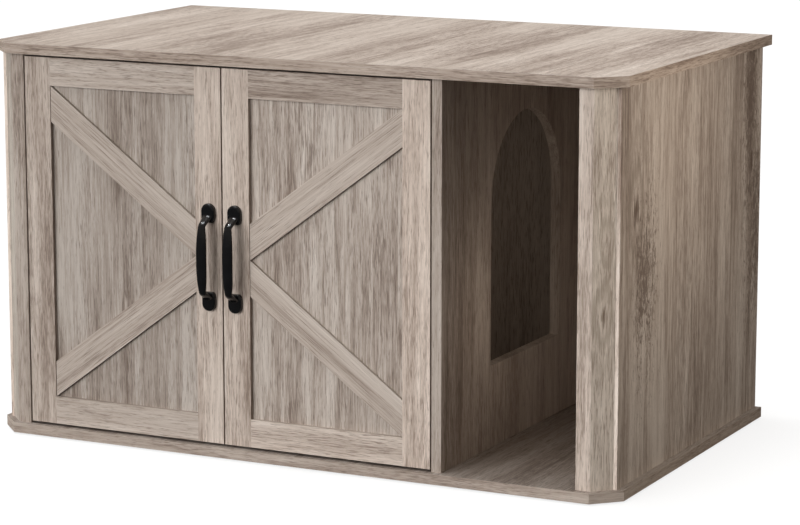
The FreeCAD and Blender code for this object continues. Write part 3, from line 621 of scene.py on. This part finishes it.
def skin(mesh, rings):
    """Joins rings of points into a closed tube."""
    loops = [[mesh.verts.new(point) for point in ring] for ring in rings]
    for lower, upper in zip(loops, loops[1:]):
        for number in range(len(lower)):
            mesh.faces.new((lower[number - 1], lower[number], upper[number], upper[number - 1]))
    mesh.faces.new(loops[0][::-1])
    mesh.faces.new(loops[-1])


def handle_mesh(name):
    """A handle's grip and two feet as one smooth mesh about its middle, in metres."""
    mesh = bmesh.new()
    reach = GRIP_LENGTH / 2 + NECK_RUN
    places = [reach * (1 - 2 * number / GRIP_STEPS) for number in range(GRIP_STEPS + 1)]
    skin(mesh, [grip_ring(place) for place in places])
    for way in (1, -1):
        rings = [foot_ring(way, 0, 0)]
        for number in range(ROUND_STEPS + 1):
            angle = math.pi / 2 * number / ROUND_STEPS
            inset = FOOT_ROUND * (1 - math.cos(angle))
            rings.append(foot_ring(way, FOOT_THICK - FOOT_ROUND * (1 - math.sin(angle)), inset))
        skin(mesh, rings)
    bmesh.ops.recalc_face_normals(mesh, faces=mesh.faces)
    data = bpy.data.meshes.new(name)
    mesh.to_mesh(data)
    mesh.free()
    data.transform(Matrix.Scale(MM, 4))
    for face in data.polygons:
        face.use_smooth = True
    return data


def build_handle(side, material):
    """A smooth handle in place of the CAD one on a door."""
    node = side + "_door_handle"
    low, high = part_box(node)
    door_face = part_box(side + "_door_meeting_stile")[0][1]
    piece = bpy.data.objects.new(node + "_smooth", handle_mesh(node + "_smooth"))
    bpy.context.scene.collection.objects.link(piece)
    piece.location = ((low[0] + high[0]) / 2, door_face, (low[2] + high[2]) / 2)
    split = piece.modifiers.new("crisp edges", "EDGE_SPLIT")
    split.split_angle = CRISP_ANGLE
    piece.data.materials.append(material)
    bpy.context.view_layer.update()
    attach(piece, side + "_door")
    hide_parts(node)


# Suns: name, where it shines from, strength, spread in degrees, and colour. The front one leaves no
# highlight, and the narrow glint gives the black paint its own.
SUNS = (
    ("overhead", (-0.15, -0.05, 1.0), 2.05, 32, (0.94, 0.975, 1.0)),
    ("front", (-0.36, -0.92, 0.14), 3.15, 42, (0.97, 0.985, 1.0)),
    ("glint", (-0.44, 0.0, 0.9), 0.75, 3, (1.0, 1.0, 1.0)),
)

# A small light on the passage end, and faint lights that stand in for the room's light inside
SIDE_LIGHT_AT = (0.98, -0.12, 0.565)
SIDE_LIGHT_TO = (0.49, -0.03, 0.48)
SIDE_LIGHT_POWER = 1.75
SIDE_LIGHT_SIZE = 0.25
WARM_COLOUR = (1.0, 0.9, 0.78)
INNER_LIGHTS = (
    ("compartment light", (-0.1, 0.0, 0.33), 0.27),
    ("passage light", (0.37, -0.17, 0.24), 0.2),
)
INNER_LIGHT_SIZE = 0.08

# The sky that lights the scene; the camera sees white in its place
SKY_STRENGTH = 0.31
SKY_COLOUR = (1.0, 0.92, 0.84)

# Floor: its tone for the camera and for bounced light, and the glow that makes it white to the camera
FLOOR_HALF = 40.0
FLOOR_TONE = 0.22
FLOOR_BOUNCE = 0.07
FLOOR_LIFT = 0.79


def point_at(lamp, target):
    """Turns a lamp to face a point."""
    direction = Vector(target) - lamp.location
    lamp.rotation_euler = direction.to_track_quat("-Z", "Y").to_euler()


def add_lamp(name, kind, place, power, colour):
    """A lamp at a place, out of the camera's sight."""
    lamp = bpy.data.objects.new(name, bpy.data.lights.new(name, kind))
    lamp.data.energy = power
    lamp.data.color = colour
    lamp.location = place
    lamp.visible_camera = False
    bpy.context.scene.collection.objects.link(lamp)
    return lamp


def add_light():
    """Soft light from above and from the front left, a little on the passage end and a little inside."""
    for name, source, strength, spread, colour in SUNS:
        sun = add_lamp(name, "SUN", source, strength, colour)
        sun.data.angle = math.radians(spread)
        sun.visible_glossy = name != "front"
        point_at(sun, (0, 0, 0))
    side = add_lamp("side light", "AREA", SIDE_LIGHT_AT, SIDE_LIGHT_POWER, WARM_COLOUR)
    side.data.size = SIDE_LIGHT_SIZE
    point_at(side, SIDE_LIGHT_TO)
    for name, place, power in INNER_LIGHTS:
        lamp = add_lamp(name, "POINT", place, power, WARM_COLOUR)
        lamp.data.shadow_soft_size = INNER_LIGHT_SIZE


def add_sky():
    """A faint warm sky that the camera sees as plain white."""
    world = bpy.data.worlds.new("white room")
    bpy.context.scene.world = world
    world.use_nodes = True
    tree = world.node_tree
    sky = tree.nodes["Background"]
    sky.inputs["Color"].default_value = (*SKY_COLOUR, 1)
    sky.inputs["Strength"].default_value = SKY_STRENGTH
    backdrop = tree.nodes.new("ShaderNodeBackground")
    backdrop.inputs["Color"].default_value = (1, 1, 1, 1)
    path = tree.nodes.new("ShaderNodeLightPath")
    choose = tree.nodes.new("ShaderNodeMixShader")
    tree.links.new(path.outputs["Is Camera Ray"], choose.inputs[0])
    tree.links.new(sky.outputs[0], choose.inputs[1])
    tree.links.new(backdrop.outputs[0], choose.inputs[2])
    tree.links.new(choose.outputs[0], tree.nodes["World Output"].inputs["Surface"])


def add_floor():
    """A pale plain floor that keeps the object's soft shadow and is white elsewhere."""
    data = bpy.data.meshes.new("floor")
    half = FLOOR_HALF
    corners = [(-half, -half, 0), (half, -half, 0), (half, half, 0), (-half, half, 0)]
    data.from_pydata(corners, [], [(0, 1, 2, 3)])
    floor = bpy.data.objects.new("floor", data)
    bpy.context.scene.collection.objects.link(floor)
    shader = Shader("floor")
    shader.value("Roughness", 1.0)
    shader.value("Specular IOR Level", 0.0)
    shader.value("Emission Color", (1, 1, 1, 1))
    seen = shader.add("ShaderNodeLightPath").outputs["Is Camera Ray"]
    tone = shader.calculate("MULTIPLY_ADD", seen, FLOOR_TONE - FLOOR_BOUNCE, FLOOR_BOUNCE)
    shader.feed(tone, "Base Color")
    shader.feed(shader.calculate("MULTIPLY", seen, FLOOR_LIFT), "Emission Strength")
    data.materials.append(shader.material)


def add_camera():
    """The camera, as in the photograph."""
    data = bpy.data.cameras.new("camera")
    data.sensor_width = SENSOR_WIDTH
    data.lens = LENS
    data.clip_end = CAMERA_REACH
    camera = bpy.data.objects.new("camera", data)
    camera.location = CAMERA_AT
    camera.rotation_euler = (CAMERA_TILT, 0, CAMERA_YAW)
    bpy.context.scene.collection.objects.link(camera)
    bpy.context.scene.camera = camera


dress_boards()
handle_black = dress_fittings()
for door_side in ("left", "right"):
    build_handle(door_side, handle_black)
add_light()
add_sky()
add_floor()
add_camera()
bpy.context.scene.view_settings.view_transform = "Standard"
